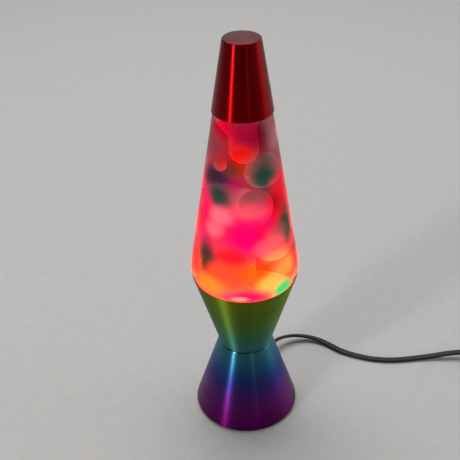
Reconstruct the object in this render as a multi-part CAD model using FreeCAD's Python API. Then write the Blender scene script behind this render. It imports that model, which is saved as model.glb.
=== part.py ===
import FreeCAD, Part
import math
import os

os.makedirs("parts", exist_ok=True)
V = FreeCAD.Vector

# Driving dimensions in millimetres
TOTAL_HEIGHT = 368.0
SHEET = 0.8                 # spun aluminium of the cones and the cap
EDGE_Z = 2.0                # lower edge of the metal above the table
FOOT_R = 48.6               # outside radius of the lower cone at its edge
WAIST_Z = 78.0
WAIST_R = 24.5              # top of the lower cone
UPPER_WAIST_R = 23.8        # bottom of the upper cone, a little inside the lower one
RIM_Z = 154.5
RIM_R = 46.1
BORE_R = 17.0               # opening through the two waist flanges
LIP = 3.0                   # inward lip under the lower cone
SEAT_GAP = 0.25             # between cone seats that lift apart

CAP_TALL = 58.0
CAP_Z = TOTAL_HEIGHT - CAP_TALL
CAP_BOTTOM_R = 24.5
CAP_TOP_R = 14.9
CAP_ROUND = 1.7

GLASS = 2.8
CAP_GAP = 0.3               # between the cap's sheet and the glass at the cap's edge
GLOBE_TOP_R = CAP_BOTTOM_R - SHEET - CAP_GAP
BELLY_RISE = 8.3            # belly corner above the rim
BELLY_ROUND = 22.0
GLOBE_SUNK = 39.5           # foot of the globe below the rim
GLOBE_FOOT_Z = RIM_Z - GLOBE_SUNK
KICK = 5.0                  # how far the foot is pushed up in the middle
FOOT_RING_R = 22.5
SHOULDER = 18.0             # shoulder above the cap's edge
SHOULDER_Z = CAP_Z + SHOULDER
MOUTH_DROP = 18.5           # mouth below the top of the cap
LIP_Z = TOTAL_HEIGHT - MOUTH_DROP
NECK_R = 13.0
MOUTH_R = 9.2
FILL_RISE = 15.0            # liquid above the cap's edge
FILL_Z = CAP_Z + FILL_RISE
POOL_DEEP = 22.0
POOL_Z = GLOBE_FOOT_Z + POOL_DEEP
FILM = 0.03                 # between liquid, wax and glass

PLATE_DROP = 21.0           # socket plate below the waist
PLATE_Z = WAIST_Z - PLATE_DROP
BODY_TALL = 19.0
BODY_Z = PLATE_Z - BODY_TALL
SOCKET_FLOOR = 4.0
FLOOR_Z = BODY_Z + SOCKET_FLOOR
CONTACT_RISE = 2.0
BULB_TIP_Z = FLOOR_Z + CONTACT_RISE
BULB_CAP_R = 8.3
BULB_TALL = 60.5
BULB_TOP_Z = BULB_TIP_Z + BULB_TALL
BULB_R = 22.2

COVER_INSET = 1.2           # cover's flange inside the foot's edge
COVER_R = FOOT_R - COVER_INSET
COVER_Z = 0.8
COVER_WALL = 1.8
COVER_GAP = 0.3             # between the cover's wall and the metal lip
PAD_R = 5.0
PAD_TALL = 1.6
PAD_INSET = 11.1            # pad centre inside the foot's edge

CORD_D = 6.2
EXIT_ANGLE = 66.0
EXIT_Z = 12.0
WALL_R = FOOT_R - (FOOT_R - WAIST_R) * (EXIT_Z - EDGE_Z) / (WAIST_Z - EDGE_Z)
GLAND_OUT = 12.57           # gland beyond the wall
GLAND_END = WALL_R + GLAND_OUT
GLAND_SHANK = WALL_R - 3.43
GLAND_HEAD = 4.5
GLAND_IN = GLAND_SHANK - GLAND_HEAD
SWITCH_X = 260.0
SWITCH_Y = 50.7
SWITCH_LONG = 56.0
SWITCH_WIDE = 20.0
SWITCH_HIGH = 14.0
WHEEL_R = 11.6
COIL_X = 330.0
COIL_PITCH = 6.75
COIL_TURNS = 6.53
COIL_R_OUT = 45.0
COIL_LOW_Z = 4.2

O = V(0, 0, 0)
UP = V(0, 0, 1)


# Shape helpers
def rounded_edges(points, closed):
    """Straight edges through points, with a tangent arc at each point that has a radius."""
    n = len(points)
    ends = []
    for i in range(n):
        p, r = points[i]
        if r <= 0 or (not closed and i in (0, n - 1)):
            ends.append((p, p, None))
            continue
        a = (points[i - 1][0] - p).normalize()
        b = (points[(i + 1) % n][0] - p).normalize()
        half = a.getAngle(b) / 2
        reach = r / math.tan(half)
        mid = (a + b).normalize()
        top = p + mid * (r / math.sin(half) - r)
        ends.append((p + a * reach, p + b * reach, top))
    edges = []
    for i in range(n):
        start, stop, top = ends[i]
        if top is not None:
            edges.append(Part.Arc(start, top, stop).toShape())
        if i < n - 1 or closed:
            nxt = ends[(i + 1) % n][0]
            if (nxt - stop).Length > 1e-6:
                edges.append(Part.makeLine(stop, nxt))
    return edges


def turned(profile, angle=360.0):
    """Solid turned about Z from (radius, height, rounding) points."""
    pts = [(V(q[0], 0, q[1]), q[2] if len(q) > 2 else 0.0) for q in profile]
    face = Part.Face(Part.Wire(rounded_edges(pts, True)))
    return face.revolve(O, UP, angle)


def sheet_profile(line, t):
    """Closed section of bent sheet: the line itself and the same line set off to its left by t."""
    segs = []
    for i in range(len(line) - 1):
        dx, dz = line[i + 1][0] - line[i][0], line[i + 1][1] - line[i][1]
        size = math.hypot(dx, dz)
        segs.append((dx / size, dz / size))
    other = []
    for i, q in enumerate(line):
        if i == 0 or i == len(line) - 1:
            dx, dz = segs[0] if i == 0 else segs[-1]
            other.append((q[0] - dz * t, q[1] + dx * t, 0.0))
            continue
        (ax, az), (bx, bz) = segs[i - 1], segs[i]
        cross = ax * bz - az * bx
        k = t * (1 - (ax * bx + az * bz)) / cross
        other.append((q[0] - az * t - ax * k, q[1] + ax * t - az * k,
                      max(q[2] - t, 0.15) if cross > 0 else q[2] + t))
    return [tuple(q) for q in line] + other[::-1]


def cyl(x, y, z, r, h):
    return Part.makeCylinder(r, h, V(x, y, z))


def box(x0, x1, y0, y1, z0, z1):
    return Part.makeBox(x1 - x0, y1 - y0, z1 - z0, V(x0, y0, z0))


def spin(shape, angle, centre=O):
    out = shape.copy()
    out.rotate(centre, UP, angle)
    return out


def around(shape, count, first=0.0):
    return [spin(shape, first + 360.0 * i / count) for i in range(count)]


def sweep(edges, radius):
    path = Part.Wire(edges)
    start = edges[0].valueAt(edges[0].FirstParameter)
    along = edges[0].tangentAt(edges[0].FirstParameter)
    ring = Part.Wire(Part.makeCircle(radius, start, along))
    return path.makePipeShell([ring], True, False)


def route(points, radius, label=""):
    """Round tube along straight runs joined by the largest arcs that the runs allow."""
    vs = [V(*p) for p in points]
    rounded = [(vs[0], 0.0)]
    for i in range(1, len(vs) - 1):
        a, b = vs[i - 1] - vs[i], vs[i + 1] - vs[i]
        turn = math.pi - a.getAngle(b)
        rounded.append((vs[i], 0.45 * min(a.Length, b.Length) / math.tan(turn / 2)))
    rounded.append((vs[-1], 0.0))
    edges = rounded_edges(rounded, False)
    tube = sweep(edges, radius)
    if label:
        length = sum(e.Length for e in edges)
        share = tube.Volume / (math.pi * radius ** 2 * length)
        print(label, "bend radii", [round(r, 1) for _, r in rounded[1:-1]], "length", round(length, 1),
              "volume against section times length", round(share, 4))
    return tube


def arc_from(p, t, q):
    """Arc that leaves p along t and ends at q."""
    chord = q - p
    c = V(chord).normalize()
    side = t - c * t.dot(c)
    if side.Length < 1e-9:
        return Part.makeLine(p, q)
    bend = t.getAngle(c)
    top = p + chord * 0.5 + side.normalize() * (chord.Length / 2 * math.tan(bend / 2))
    return Part.Arc(p, top, q).toShape()


def biarcs(point, u0, u1, steps):
    """Chain of tangent arc pairs through the curve point(u), with straight ends one tube wide."""
    def tangent(u):
        return (point(u + 1e-4) - point(u - 1e-4)).normalize()
    edges = []
    for i in range(steps):
        ua, ub = u0 + (u1 - u0) * i / steps, u0 + (u1 - u0) * (i + 1) / steps
        p, q, s, t = point(ua), point(ub), tangent(ua), tangent(ub)
        v = q - p
        both = s + t
        a = 2 * (1 - s.dot(t))
        b = 2 * v.dot(both)
        c = v.dot(v)
        d = c / b if a < 1e-9 else (-b + math.sqrt(b * b + 4 * a * c)) / (2 * a)
        m = (p + s * d + q - t * d) * 0.5
        first = arc_from(p, s, m)
        edges.append(first)
        edges.append(arc_from(m, first.tangentAt(first.LastParameter), q))
    return edges, tangent(u0), tangent(u1)


def drop(cx, cy, z0, z1, r0, r1, grow=0.0):
    """Wax drop: a ball below, a ball above and the cone that touches both, never wider than tall."""
    r0, r1 = min(r0, 0.49 * (z1 - z0)), min(r1, 0.49 * (z1 - z0))
    low, high = z0 + r0, z1 - r1
    lean = math.asin((r0 - r1) / (high - low))
    r0, r1 = r0 + grow, r1 + grow

    def ball(z, r, a):
        return V(r * math.cos(a), 0, z + r * math.sin(a))
    south, north = V(0, 0, low - r0), V(0, 0, high + r1)
    p, q = ball(low, r0, lean), ball(high, r1, lean)
    edges = [Part.Arc(south, ball(low, r0, (lean - math.pi / 2) / 2), p).toShape(), Part.makeLine(p, q),
             Part.Arc(q, ball(high, r1, (lean + math.pi / 2) / 2), north).toShape(), Part.makeLine(north, south)]
    solid = Part.Face(Part.Wire(edges)).revolve(O, UP, 360)
    solid.translate(V(cx, cy, 0))
    return solid


def save(name, *shapes):
    out = shapes[0] if len(shapes) == 1 else Part.makeCompound(list(shapes))
    out.exportStep("parts/" + name + ".step")
    print(name, "solids", len(out.Solids), "valid", out.isValid(), "cm3", round(out.Volume / 1000, 3))
    return out


# Lower cone: lip under the edge, straight cone, flange at the waist, hole for the gland
lower_line = [(FOOT_R - LIP, EDGE_Z, 0), (FOOT_R, EDGE_Z, 1.1), (WAIST_R, WAIST_Z, 1.6), (BORE_R, WAIST_Z, 0)]
lower = turned(sheet_profile(lower_line, SHEET))
RIVET_AT = (BORE_R + UPPER_WAIST_R) / 2 - 0.4
RIVET_R = 1.25
RIVET_HEAD_R = 2.1
RIVET_HEAD = 1.0
RIVET_TAIL_R = 1.9
RIVET_TAIL = 0.9
GLAND_R = 4.85
gland_hole = Part.makeCylinder(GLAND_R + 0.15, 30.0, V(WALL_R - 13.5, 0, EXIT_Z), V(1, 0, 0))
rivet_hole = cyl(RIVET_AT, 0, WAIST_Z - 4, RIVET_R, 8)
rivet_holes = around(rivet_hole, 3, 30)
lower = lower.cut(spin(gland_hole, EXIT_ANGLE))
for h in rivet_holes:
    lower = lower.cut(h)
save("lower_cone", lower)

# Upper cone: flange on the lower flange, straight cone up to the plain rim
upper_line = [(BORE_R, WAIST_Z, 0), (UPPER_WAIST_R, WAIST_Z, 1.1), (RIM_R, RIM_Z, 0)]
upper = turned(sheet_profile(upper_line, SHEET))
for h in rivet_holes:
    upper = upper.cut(h)
save("upper_cone", upper)

# Socket bracket: pressed hat under the waist flanges, with two windows
BRACKET_TOP = WAIST_Z - SHEET
HAT = 0.8
BODY_R = 11.6
HAT_R = BORE_R - 0.8
hat = [(BODY_R + 0.2, PLATE_Z, 0), (HAT_R, PLATE_Z, 1.0), (HAT_R, BRACKET_TOP - HAT, 1.0),
       (BORE_R + 5.2, BRACKET_TOP - HAT, 0)]
bracket = turned(sheet_profile(hat, HAT))
for h in rivet_holes:
    bracket = bracket.cut(h)
for side in (1, -1):
    y0, y1 = (5.5, 30) if side > 0 else (-30, -5.5)
    bracket = bracket.cut(box(-30, 30, y0, y1, PLATE_Z + 2.2, BRACKET_TOP - 2.6))
save("socket_bracket", bracket)

# Rivets through bracket and both flanges
RIVET_LOW = BRACKET_TOP - HAT
RIVET_TOP = WAIST_Z + SHEET
rivet = turned([(0, RIVET_LOW - RIVET_TAIL), (RIVET_TAIL_R, RIVET_LOW - RIVET_TAIL, 0.4), (RIVET_TAIL_R, RIVET_LOW),
                (RIVET_R, RIVET_LOW), (RIVET_R, RIVET_TOP), (RIVET_HEAD_R, RIVET_TOP),
                (RIVET_HEAD_R, RIVET_TOP + RIVET_HEAD, 0.6), (0, RIVET_TOP + RIVET_HEAD)])
rivet.translate(V(RIVET_AT, 0, 0))
save("waist_rivets", *around(rivet, 3, 30))

# Socket: moulded body hanging by its collar, ring below the plate, screw shell and centre contact inside
COLLAR_Z = PLATE_Z + HAT
SHELL_R = BULB_CAP_R + 1.2
TERMINAL_X = 6.4
body = turned([(0, BODY_Z), (BODY_R, BODY_Z, 1.2), (BODY_R, COLLAR_Z), (BODY_R + 2.6, COLLAR_Z),
               (BODY_R + 2.6, COLLAR_Z + 3.2, 0.8), (SHELL_R, COLLAR_Z + 3.2), (SHELL_R, FLOOR_Z), (0, FLOOR_Z)])
for x in (-TERMINAL_X, TERMINAL_X):
    body = body.cut(cyl(x, 0, BODY_Z - 1, 1.2, 3.6))
save("socket_body", body)
RING_IN, RING_OUT = BODY_R + 0.02, BODY_R + 2.8
RING_LOW = PLATE_Z - 4.0
save("socket_ring", turned([(RING_IN, RING_LOW), (RING_OUT, RING_LOW, 0.6), (RING_OUT, PLATE_Z),
                            (RING_IN, PLATE_Z)]))
save("socket_shell", turned([(SHELL_R, FLOOR_Z), (SHELL_R, COLLAR_Z + 1.8), (BULB_CAP_R + 0.3, COLLAR_Z + 1.8),
                             (BULB_CAP_R + 0.3, FLOOR_Z + 0.8), (5.2, FLOOR_Z + 0.8), (5.2, FLOOR_Z)]))
tab = [(V(-4.2, 0, FLOOR_Z), 0), (V(-4.2, 0, FLOOR_Z + 0.4), 0), (V(-1.4, 0, FLOOR_Z + 0.4), 1.0),
       (V(0.4, 0, BULB_TIP_Z - 0.1), 0.8), (V(3.0, 0, BULB_TIP_Z - 0.1), 0), (V(3.0, 0, BULB_TIP_Z - 0.5), 0),
       (V(0.6, 0, BULB_TIP_Z - 0.5), 0.5), (V(-1.2, 0, FLOOR_Z), 0.6)]
contact = Part.Face(Part.Wire(rounded_edges(tab, True))).extrude(V(0, 3.2, 0))
contact.translate(V(0, -1.6, 0))
save("socket_contact", contact)

# Terminal screws under the body and the two leads from the gland
screws = []
for x in (-TERMINAL_X, TERMINAL_X):
    head = turned([(0, BODY_Z - 2.4), (2.6, BODY_Z - 2.4, 0.5), (2.6, BODY_Z), (1.2, BODY_Z), (1.2, BODY_Z + 2.4),
                   (0, BODY_Z + 2.4)])
    head.translate(V(x, 0, 0))
    screws.append(head.cut(box(x - 3, x + 3, -0.35, 0.35, BODY_Z - 3, BODY_Z - 1.7)))
save("terminal_screws", *screws)
leads = []
ex, ey = math.cos(math.radians(EXIT_ANGLE)), math.sin(math.radians(EXIT_ANGLE))
for s in (-1, 1):
    ax, ay = ex * GLAND_IN + s * ey * 1.6, ey * GLAND_IN - s * ex * 1.6
    leads.append(route([(ax, ay, EXIT_Z), (ax - 9 * ex, ay - 9 * ey, EXIT_Z), (s * 5.0 + 4.0, 14.0, 17.0),
                        (s * TERMINAL_X, 5.6, BODY_Z - 12.0), (s * TERMINAL_X, 4.05, BODY_Z - 1.3)], 1.1))
save("inner_leads", *leads)

# Bottom cover: flange under the metal lip, ring wall with snap hooks, vent slots, pockets for the feet
LIP_R = FOOT_R - LIP
WALL_OUT = LIP_R - COVER_GAP
WALL_IN = WALL_OUT - COVER_WALL
COVER_TOP = COVER_Z + PAD_TALL
WALL_TOP = EDGE_Z + 4.5
PAD_AT = FOOT_R - PAD_INSET
SLOT_IN, SLOT_OUT, SLOT_R = 15.0, PAD_AT - 7.5, 2.0
cover = turned([(0, COVER_Z), (COVER_R, COVER_Z, 0.4), (COVER_R, EDGE_Z), (WALL_OUT, EDGE_Z),
                (WALL_OUT, WALL_TOP, 0.3), (WALL_IN, WALL_TOP, 0.3), (WALL_IN, COVER_TOP), (0, COVER_TOP)])
slot = box(SLOT_IN, SLOT_OUT, -SLOT_R, SLOT_R, 0, 5)
for x in (SLOT_IN, SLOT_OUT):
    slot = slot.fuse(cyl(x, 0, 0, SLOT_R, 5))
for s in around(slot, 8, 22.5):
    cover = cover.cut(s)
pocket = cyl(PAD_AT, 0, 0, PAD_R + 0.1, PAD_TALL)
for s in around(pocket, 4, 45):
    cover = cover.cut(s)
hook = turned([(WALL_OUT - 0.1, EDGE_Z + 1.0), (LIP_R + 0.7, EDGE_Z + 1.0), (LIP_R + 0.4, EDGE_Z + 1.9),
               (WALL_OUT - 0.1, WALL_TOP - 0.5)], 10)
slit = box(WALL_IN - 0.5, WALL_OUT + 0.7, -0.5, 0.5, COVER_TOP, WALL_TOP + 0.5)
for i in range(4):
    cover = cover.cut(spin(slit, 90 * i + 2)).cut(spin(slit, 90 * i + 18))
    cover = cover.fuse(spin(hook, 90 * i + 5))
save("bottom_cover", cover)
foot = turned([(0, 0), (PAD_R, 0, 0.4), (PAD_R, PAD_TALL), (0, PAD_TALL)])
foot.translate(V(PAD_AT, 0, 0))
save("rubber_feet", *around(foot, 4, 45))

# Cord gland: head inside the wall, then a taper with three flex grooves
def along_x(profile):
    pts = [(V(q[0], q[1], 0), q[2] if len(q) > 2 else 0.0) for q in profile]
    return Part.Face(Part.Wire(rounded_edges(pts, True))).revolve(O, V(1, 0, 0), 360)


gland = along_x([(GLAND_IN, 0), (GLAND_IN, 6.0, 0.8), (GLAND_SHANK, 6.0), (GLAND_SHANK, GLAND_R),
                 (GLAND_END - 10, GLAND_R), (GLAND_END, 3.7, 0.5), (GLAND_END, 0)])
for a in (GLAND_END - 9.4, GLAND_END - 6.6, GLAND_END - 3.8):
    gland = gland.cut(along_x([(a, 3.3), (a, 6), (a + 1.1, 6), (a + 1.1, 3.3)]))
gland.translate(V(0, 0, EXIT_Z))
save("cord_gland", spin(gland, EXIT_ANGLE))

# Cord run from the gland to the switch
SW_Z = SWITCH_HIGH / 2
run = [(ex * GLAND_END, ey * GLAND_END, EXIT_Z), (28.5, 64.0, EXIT_Z), (36.8, 73.4, 10.9), (47.9, 79.7, 8.9),
       (60.7, 81.9, 6.7), (73.5, 79.8, 4.9), (85.4, 73.3, 3.8), (103.0, 56.5, 3.15), (141.0, 43.6, 3.15),
       (188.0, 49.4, 3.3), (213.0, SWITCH_Y, SW_Z), (SWITCH_X - SWITCH_LONG / 2, SWITCH_Y, SW_Z)]
save("cord_run", route(run, CORD_D / 2, "cord_run"))

# Inline switch: two oval shells, a ribbed wheel turning on the centre screw
def oval(z0, z1):
    half = SWITCH_LONG / 2 - SWITCH_WIDE / 2
    w = SWITCH_WIDE / 2
    edges = [Part.makeLine(V(-half, -w, z0), V(half, -w, z0)),
             Part.Arc(V(half, -w, z0), V(half + w, 0, z0), V(half, w, z0)).toShape(),
             Part.makeLine(V(half, w, z0), V(-half, w, z0)),
             Part.Arc(V(-half, w, z0), V(-half - w, 0, z0), V(-half, -w, z0)).toShape()]
    return Part.Face(Part.Wire(edges)).extrude(V(0, 0, z1 - z0))


def ring_edges(shape, z):
    """Edges that lie flat at a height."""
    return [e for e in shape.Edges if abs(e.BoundBox.ZMin - z) < 1e-4 and abs(e.BoundBox.ZMax - z) < 1e-4]


FLAT_LONG = 8.0             # flat ends where the cord goes in
FLAT_HALF = 4.6
FLAT_INSET = 2.4
WHEEL_TALL = 4.8
WHEEL_GAP = 0.3             # above and below the wheel
RIBS = 28
AXLE_R = 1.5                # shank of the centre screw
AXLE_Z = 1.2
HEAD_R = 3.0
HEAD_Z = SWITCH_HIGH - 1.6
HEAD_TOP = SWITCH_HIGH - 0.2
low = oval(0, SW_Z)
low = low.makeFillet(2.0, ring_edges(low, 0))
high = oval(SW_Z, SWITCH_HIGH)
high = high.makeFillet(2.6, ring_edges(high, SWITCH_HIGH))
for s in (-1, 1):
    x0, x1 = sorted((s * SWITCH_LONG / 2, s * (SWITCH_LONG / 2 - FLAT_LONG)))
    low = low.fuse(box(x0, x1, -FLAT_HALF, FLAT_HALF, FLAT_INSET, SW_Z))
    high = high.fuse(box(x0, x1, -FLAT_HALF, FLAT_HALF, SW_Z, SWITCH_HIGH - FLAT_INSET))
room = cyl(0, 0, SW_Z - WHEEL_TALL / 2 - WHEEL_GAP, WHEEL_R + 2 * WHEEL_GAP, WHEEL_TALL + 2 * WHEEL_GAP)
low = low.cut(room).cut(cyl(0, 0, AXLE_Z, AXLE_R, SW_Z))
high = high.cut(room).cut(cyl(0, 0, SW_Z, AXLE_R, SWITCH_HIGH))
high = high.cut(cyl(0, 0, HEAD_Z, HEAD_R + 0.1, SWITCH_HIGH))
wheel = cyl(0, 0, SW_Z - WHEEL_TALL / 2, WHEEL_R, WHEEL_TALL).cut(cyl(0, 0, 0, AXLE_R + 0.08, SWITCH_HIGH))
for n in around(cyl(WHEEL_R + 0.25, 0, 0, 0.7, SWITCH_HIGH), RIBS):
    wheel = wheel.cut(n)
screw = turned([(0, AXLE_Z), (AXLE_R, AXLE_Z), (AXLE_R, HEAD_Z), (HEAD_R, HEAD_Z), (HEAD_R, HEAD_TOP, 0.5),
                (0, HEAD_TOP)])
screw = screw.cut(box(-2.2, 2.2, -0.4, 0.4, SWITCH_HIGH - 1.0, SWITCH_HIGH))
screw = screw.cut(box(-0.4, 0.4, -2.2, 2.2, SWITCH_HIGH - 1.0, SWITCH_HIGH))
for name, shape in (("switch_lower_shell", low), ("switch_upper_shell", high), ("switch_wheel", wheel),
                    ("switch_screw", screw)):
    shape.translate(V(SWITCH_X, SWITCH_Y, 0))
    save(name, shape)

# Wound coil: in on the lower layer, up a layer while the spiral reverses, out on the upper layer
COIL_Y = SWITCH_Y - COIL_R_OUT
MID = COIL_TURNS / 2
COIL_R_IN = COIL_R_OUT - COIL_PITCH * MID


def coil_point(u):
    turn = math.radians(90 - 360 * u)
    r = COIL_R_IN + COIL_PITCH * math.sqrt((u - MID) ** 2 + 0.01)
    s = min(max((u - MID + 0.25) / 0.5, 0), 1)
    rise = s * s * (3 - 2 * s)
    return V(COIL_X + r * math.cos(turn), COIL_Y + r * math.sin(turn), COIL_LOW_Z + COIL_PITCH * rise)


coil_edges, t_in, t_out = biarcs(coil_point, 0, COIL_TURNS, 26)
c_in, c_out = coil_point(0), coil_point(COIL_TURNS)
c0, c1 = c_in - t_in * CORD_D, c_out + t_out * CORD_D
coil_edges = [Part.makeLine(c0, c_in)] + coil_edges + [Part.makeLine(c_out, c1)]
save("cord_coil", sweep(coil_edges, CORD_D / 2))
SAMPLES, NEAR = 260, 20
least = 1e9
for i in range(SAMPLES):
    a = coil_point(COIL_TURNS * i / SAMPLES)
    for j in range(i + NEAR, SAMPLES + 1):
        least = min(least, (a - coil_point(COIL_TURNS * j / SAMPLES)).Length)
print("least gap of the coil to itself", round(least - CORD_D, 3))
print("coil length", round(sum(e.Length for e in coil_edges), 1))

# Short link from the switch to the coil, and the tail from the coil to the plug
link = [(SWITCH_X + SWITCH_LONG / 2, SWITCH_Y, SW_Z), (298, SWITCH_Y, SW_Z),
        (312, SWITCH_Y + 0.4, COIL_LOW_Z + 0.3), (c0.x, c0.y, c0.z)]
save("cord_link", route(link, CORD_D / 2, "cord_link"))
PLUG_Z = 8.2
plug_dir = V(t_out.x, t_out.y, 0).normalize()
plug_at = V(c1.x, c1.y, PLUG_Z) + plug_dir * 40
p1 = V(c1.x, c1.y, c1.z) + plug_dir * 12
p2 = plug_at - plug_dir * 12
tail = [(c1.x, c1.y, c1.z), (p1.x, p1.y, c1.z), (p2.x, p2.y, PLUG_Z), (plug_at.x, plug_at.y, PLUG_Z)]
save("cord_tail", route(tail, CORD_D / 2, "cord_tail"))

# Tie round the bundle of turns
R0, R1 = COIL_R_IN - 3.1, COIL_R_OUT + 2.2
Z0, Z1 = 0.9, COIL_LOW_Z + COIL_PITCH + 3.4
TIE, TIE_WIDE, TIE_ROUND = 0.8, 5.0, 1.2


def tie_block(grow):
    corners = [(R0 - grow, Z0 - grow), (R1 + grow, Z0 - grow), (R1 + grow, Z1 + grow), (R0 - grow, Z1 + grow)]
    pts = [(V(x, 0, z), TIE_ROUND + grow) for x, z in corners]
    return Part.Face(Part.Wire(rounded_edges(pts, True))).extrude(V(0, TIE_WIDE, 0))


tie = tie_block(TIE).cut(tie_block(0.0))
tie.translate(V(COIL_X, COIL_Y - TIE_WIDE / 2, 0))
save("coil_tie", tie)

# Plug: ribbed neck, tapered body, two flat blades
PLUG_GRIP = 24.0            # end of the taper from the start of the neck
PLUG_FACE = 35.0
BLADE_AT = 6.35
BLADE = 1.5
BLADE_WIDE = 6.3
BLADE_OUT = 17.0
BLADE_SUNK = 6.0
neck = along_x([(0, 0), (0, 3.9, 0.6), (14, 5.2), (14, 0)])
for a in (3.0, 6.0, 9.0):
    neck = neck.cut(along_x([(a, 3.5), (a, 7), (a + 1.3, 7), (a + 1.3, 3.5)]))


def plug_section(x, wide, high, r):
    pts = [(V(x, -wide / 2, -high / 2), r), (V(x, wide / 2, -high / 2), r), (V(x, wide / 2, high / 2), r),
           (V(x, -wide / 2, high / 2), r)]
    return Part.Wire(rounded_edges(pts, True))


def blade_box(s, out):
    return box(PLUG_FACE - BLADE_SUNK, PLUG_FACE + out, s * BLADE_AT - BLADE / 2, s * BLADE_AT + BLADE / 2,
               -BLADE_WIDE / 2, BLADE_WIDE / 2)


widest = plug_section(PLUG_GRIP, 24, 15.0, 4.5)
grip = Part.makeLoft([plug_section(13.5, 13, 11, 4.5), widest], True)
head = Part.makeLoft([widest, plug_section(PLUG_FACE, 25, 15.4, 4.0)], True)
plug = neck.fuse(grip).fuse(head)
blades = []
for s in (-1, 1):
    hole = Part.makeCylinder(1.6, 6, V(PLUG_FACE + 12, s * BLADE_AT - 3, 0), V(0, 1, 0))
    blades.append(blade_box(s, BLADE_OUT).cut(hole))
    plug = plug.cut(blade_box(s, 1))
angle = math.degrees(math.atan2(plug_dir.y, plug_dir.x))
for shape in [plug] + blades:
    shape.rotate(O, UP, angle)
    shape.translate(plug_at)
save("plug_body", plug)
save("plug_blades", *blades)

# Bulb: tip, insulator, screw cap, reflector glass, stem and filament
T = BULB_TIP_Z
save("bulb_tip", turned([(0, T), (2.4, T, 0.8), (2.4, T + 1.2), (0, T + 1.2)]))
save("bulb_insulator", turned([(0, T + 1.2), (2.6, T + 1.2), (6.4, T + 3.4), (6.4, T + 4.2), (0, T + 4.2)]))
G0 = T + 17.5
B = BULB_TOP_Z
NECK_OUT = BULB_CAP_R - 0.5
save("bulb_cap", turned([(6.4, T + 3.3), (BULB_CAP_R, T + 4.6, 0.8), (BULB_CAP_R, G0), (NECK_OUT, G0),
                         (NECK_OUT, T + 4.9), (6.4, T + 4.2)]))
bulb_out = [(NECK_OUT, G0, 0), (NECK_OUT + 1.6, G0 + 4, 4), (12.0, B - 25.5, 10), (BULB_R, B - 10.5, 8),
            (BULB_R - 0.3, B - 5, 4.5), (0, B, 0)]
bulb_in = [(0, B - 0.9, 0), (BULB_R - 1.4, B - 5.7, 3.6), (BULB_R - 1.0, B - 10.3, 7), (11.1, B - 25.2, 11),
           (NECK_OUT + 0.7, G0 + 4.2, 5), (NECK_OUT - 0.9, G0, 0)]
save("bulb_glass", turned(bulb_out + bulb_in))
STEM_Z = B - 22.5
stem_r = NECK_OUT - 0.2
save("bulb_stem", turned([(0, T + 4.3), (6.0, T + 4.3), (stem_r, T + 6.2), (stem_r, G0 - 2, 1.0),
                          (6.2, G0 + 1, 1.0), (3.0, G0 + 5, 2.0), (2.2, STEM_Z, 0.8), (0, STEM_Z)]))
FILAMENT_LONG, FILAMENT_R, FILAMENT_TURNS = 13.2, 0.9, 12
FILAMENT_WIRE_R, LEAD_R = 0.16, 0.25
FILAMENT_Z = B - 15.9
lead_x = FILAMENT_LONG / 2 + 0.6
lead_line = [(1.2, STEM_Z), (1.4, STEM_Z + 2), (lead_x, STEM_Z + 4), (lead_x, FILAMENT_Z + 0.6)]
save("bulb_leads", *[route([(s * x, 0, z) for x, z in lead_line], LEAD_R) for s in (-1, 1)])


def filament_point(u):
    a = 2 * math.pi * u
    along = FILAMENT_LONG * (u / FILAMENT_TURNS - 0.5)
    return V(along, FILAMENT_R * math.cos(a), FILAMENT_Z + FILAMENT_R * math.sin(a))


filament_edges = biarcs(filament_point, 0, FILAMENT_TURNS, 2 * FILAMENT_TURNS)[0]
save("bulb_filament", sweep(filament_edges, FILAMENT_WIRE_R))

# Globe: one bottle with a pushed-up foot, two tapers, shoulder and crown mouth
BASE_SLOPE = (RIM_R - UPPER_WAIST_R) / (RIM_Z - WAIST_Z)
lean = math.sqrt(1 + BASE_SLOPE ** 2)
SEAT_R = RIM_R - (SHEET + SEAT_GAP) * lean


def lower_r(z):
    return SEAT_R - BASE_SLOPE * (RIM_Z - z)


BELLY_Z = RIM_Z + BELLY_RISE
BELLY_R = lower_r(BELLY_Z)
GLOBE_SLOPE = (BELLY_R - GLOBE_TOP_R) / (CAP_Z - BELLY_Z)
CAP_SLOPE = (CAP_BOTTOM_R - CAP_TOP_R) / CAP_TALL


def upper_r(z):
    """Glass radius above the belly: the long taper, then the cap's own taper under the cap."""
    return GLOBE_TOP_R + (GLOBE_SLOPE if z < CAP_Z else CAP_SLOPE) * (CAP_Z - z)


FZ = GLOBE_FOOT_Z
BEAD_R = NECK_R + 0.5
NECK_Z = SHOULDER_Z + 7.0
outer = [(0, FZ + KICK, 0), (12.0, FZ + KICK - 0.8, 20), (FOOT_RING_R, FZ, 2.5), (lower_r(FZ), FZ, 7.0),
         (BELLY_R, BELLY_Z, BELLY_ROUND), (GLOBE_TOP_R, CAP_Z, 0), (upper_r(SHOULDER_Z), SHOULDER_Z, 5.0),
         (NECK_R, NECK_Z, 4.0), (NECK_R, LIP_Z - 6.9, 0), (BEAD_R, LIP_Z - 6.1, 0), (BEAD_R, LIP_Z - 2.9, 1.2),
         (BEAD_R - 0.6, LIP_Z, 1.0), (MOUTH_R, LIP_Z, 1.0)]


def inside(gap, top):
    """Inner outline of the bottle from the foot up to a fill height, set in by a gap."""
    g = GLASS + gap
    gu = g * math.sqrt(1 + GLOBE_SLOPE ** 2)
    gl = g * lean
    br = BELLY_R - (gu + gl) / 2
    return [(0, FZ + KICK + g, 0), (11.6, FZ + KICK - 0.7 + g, 20), (FOOT_RING_R - 0.7, FZ + g, 4.0),
            (lower_r(FZ + g) - gl, FZ + g, 5.0), (br, BELLY_Z, BELLY_ROUND - g), (GLOBE_TOP_R - gu, CAP_Z, 0),
            (upper_r(top) - gu, top, 6.0)]


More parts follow.
